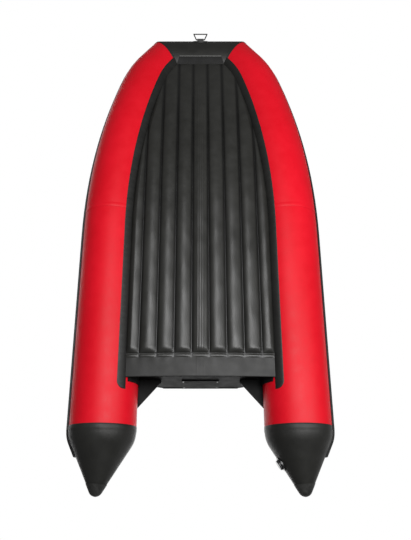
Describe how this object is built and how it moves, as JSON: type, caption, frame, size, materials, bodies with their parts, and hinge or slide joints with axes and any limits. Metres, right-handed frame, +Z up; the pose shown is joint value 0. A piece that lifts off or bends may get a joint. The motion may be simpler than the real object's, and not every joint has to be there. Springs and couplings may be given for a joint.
{
  "type": "inflatable dinghy",
  "caption": "Inflatable dinghy with mitred bow, cone-ended side tubes, ribbed air floor, transom with motor plates, rowlocks, benches and tow ring.",
  "frame": {"origin": "the point on the ground under the middle of the boat's length, on its centreline, with the boat standing on its side tubes", "axes": "+Z up, deck side up; -Y towards the bow and +Y towards the stern cones; +X to port"},
  "size_m": [1.5086, 3.2059, 0.5875],
  "materials": {
    "red_fabric": "satin coated fabric",
    "black_fabric": "satin coated fabric",
    "inner_fabric": "matt coated fabric",
    "floor_fabric": "satin coated fabric",
    "floor_top": "matt coated fabric",
    "grey_tape": "matt tape",
    "strake_rubber": "satin extruded rubber",
    "moulded_rubber": "matt moulded rubber",
    "black_plastic": "matt moulded plastic",
    "steel": "brushed stainless steel",
    "black_steel": "black coated steel wire",
    "plug_plastic": "glossy moulded plastic",
    "valve_plastic": "satin moulded plastic",
    "bench_plastic": "painted board"
  },
  "bodies": {
    "hull": {"port_aft_tube": "red_fabric", "starboard_aft_tube": "red_fabric", "port_fore_tube": "red_fabric", "starboard_fore_tube": "red_fabric", "bow_tube": "black_fabric", "port_cone": "black_fabric", "starboard_cone": "black_fabric", "port_cone_cap": "moulded_rubber", "starboard_cone_cap": "moulded_rubber", "port_baffle": "inner_fabric", "starboard_baffle": "inner_fabric", "port_strake": "strake_rubber", "starboard_strake": "strake_rubber", "bow_strake": "strake_rubber", "port_floor_tape": "grey_tape", "starboard_floor_tape": "grey_tape", "bow_floor_tape": "grey_tape", "floor_bottom_skin": "floor_fabric", "floor_top_skin": "floor_top", "floor_webs": "inner_fabric", "floor_end_strip": "floor_fabric", "stern_flap": "floor_fabric", "keel_tape": "grey_tape", "transom_board": "black_plastic", "transom_trim": "black_plastic", "outer_motor_plate": "black_plastic", "inner_motor_plate": "black_plastic", "transom_screws": "steel", "port_transom_holder": "black_plastic", "starboard_transom_holder": "black_plastic", "port_gusset": "black_plastic", "starboard_gusset": "black_plastic", "drain_body": "valve_plastic", "port_valve_body": "valve_plastic", "starboard_valve_body": "valve_plastic", "bow_valve_body": "valve_plastic", "floor_valve_body": "valve_plastic", "port_rowlock_base": "moulded_rubber", "starboard_rowlock_base": "moulded_rubber", "port_bench_track": "moulded_rubber", "starboard_bench_track": "moulded_rubber", "tow_patch": "moulded_rubber", "tow_eye": "moulded_rubber", "bow_handle": "moulded_rubber", "port_handle": "moulded_rubber", "starboard_handle": "moulded_rubber"},
    "tow_ring": {"tow_ring": "black_steel"},
    "drain_plug": {"drain_plug": "plug_plastic"},
    "aft_bench": {"aft_bench": "bench_plastic"},
    "fore_bench": {"fore_bench": "bench_plastic"},
    "port_rowlock_pin": {"port_rowlock_pin": "steel"},
    "starboard_rowlock_pin": {"starboard_rowlock_pin": "steel"},
    "port_valve_cap": {"port_valve_cap": "valve_plastic"},
    "port_valve_plunger": {"port_valve_plunger": "valve_plastic"},
    "starboard_valve_cap": {"starboard_valve_cap": "valve_plastic"},
    "starboard_valve_plunger": {"starboard_valve_plunger": "valve_plastic"},
    "bow_valve_cap": {"bow_valve_cap": "valve_plastic"},
    "bow_valve_plunger": {"bow_valve_plunger": "valve_plastic"},
    "floor_valve_cap": {"floor_valve_cap": "valve_plastic"},
    "floor_valve_plunger": {"floor_valve_plunger": "valve_plastic"}
  },
  "joints": [
    {"name": "tow_ring_swing", "type": "hinge", "parent": "hull", "child": "tow_ring", "pos_m": [0, -1.54923, 0.21145], "axis": [-1, 0, 0], "range_deg": [-30, 120]},
    {"name": "drain_plug_pull", "type": "slide", "parent": "hull", "child": "drain_plug", "axis": [0, -0.9962, 0.0872], "range_m": [0, 0.04]},
    {"name": "aft_bench_slide", "type": "slide", "parent": "hull", "child": "aft_bench", "axis": [0, 1, 0], "range_m": [-0.08, 0.08]},
    {"name": "fore_bench_slide", "type": "slide", "parent": "hull", "child": "fore_bench", "axis": [0, 1, 0], "range_m": [-0.03, 0.1]},
    {"name": "port_rowlock_turn", "type": "hinge", "parent": "hull", "child": "port_rowlock_pin", "pos_m": [0.5518, 0.37442, 0.42], "axis": [0, 0, 1], "continuous": true},
    {"name": "starboard_rowlock_turn", "type": "hinge", "parent": "hull", "child": "starboard_rowlock_pin", "pos_m": [-0.5518, 0.37442, 0.42], "axis": [0, 0, 1], "continuous": true},
    {"name": "port_cap_lift", "type": "slide", "parent": "hull", "child": "port_valve_cap", "axis": [-0.8481, 0.5295, -0.021], "range_m": [0, 0.03]},
    {"name": "port_plunger_press", "type": "slide", "parent": "hull", "child": "port_valve_plunger", "axis": [0.8481, -0.5295, 0.021], "range_m": [0, 0.003], "stiffness_N_per_m": 400, "springref_m": -0.002},
    {"name": "starboard_cap_lift", "type": "slide", "parent": "hull", "child": "starboard_valve_cap", "axis": [0.9659, 0, 0.2588], "range_m": [0, 0.03]},
    {"name": "starboard_plunger_press", "type": "slide", "parent": "hull", "child": "starboard_valve_plunger", "axis": [-0.9659, 0, -0.2588], "range_m": [0, 0.003], "stiffness_N_per_m": 400, "springref_m": -0.002},
    {"name": "bow_cap_lift", "type": "slide", "parent": "hull", "child": "bow_valve_cap", "axis": [0, 0.9063, 0.4226], "range_m": [0, 0.03]},
    {"name": "bow_plunger_press", "type": "slide", "parent": "hull", "child": "bow_valve_plunger", "axis": [0, -0.9063, -0.4226], "range_m": [0, 0.003], "stiffness_N_per_m": 400, "springref_m": -0.002},
    {"name": "floor_cap_lift", "type": "slide", "parent": "hull", "child": "floor_valve_cap", "axis": [0, 0, 1], "range_m": [0, 0.03]},
    {"name": "floor_plunger_press", "type": "slide", "parent": "hull", "child": "floor_valve_plunger", "axis": [0, 0, -1], "range_m": [0, 0.003], "stiffness_N_per_m": 400, "springref_m": -0.002}
  ]
}
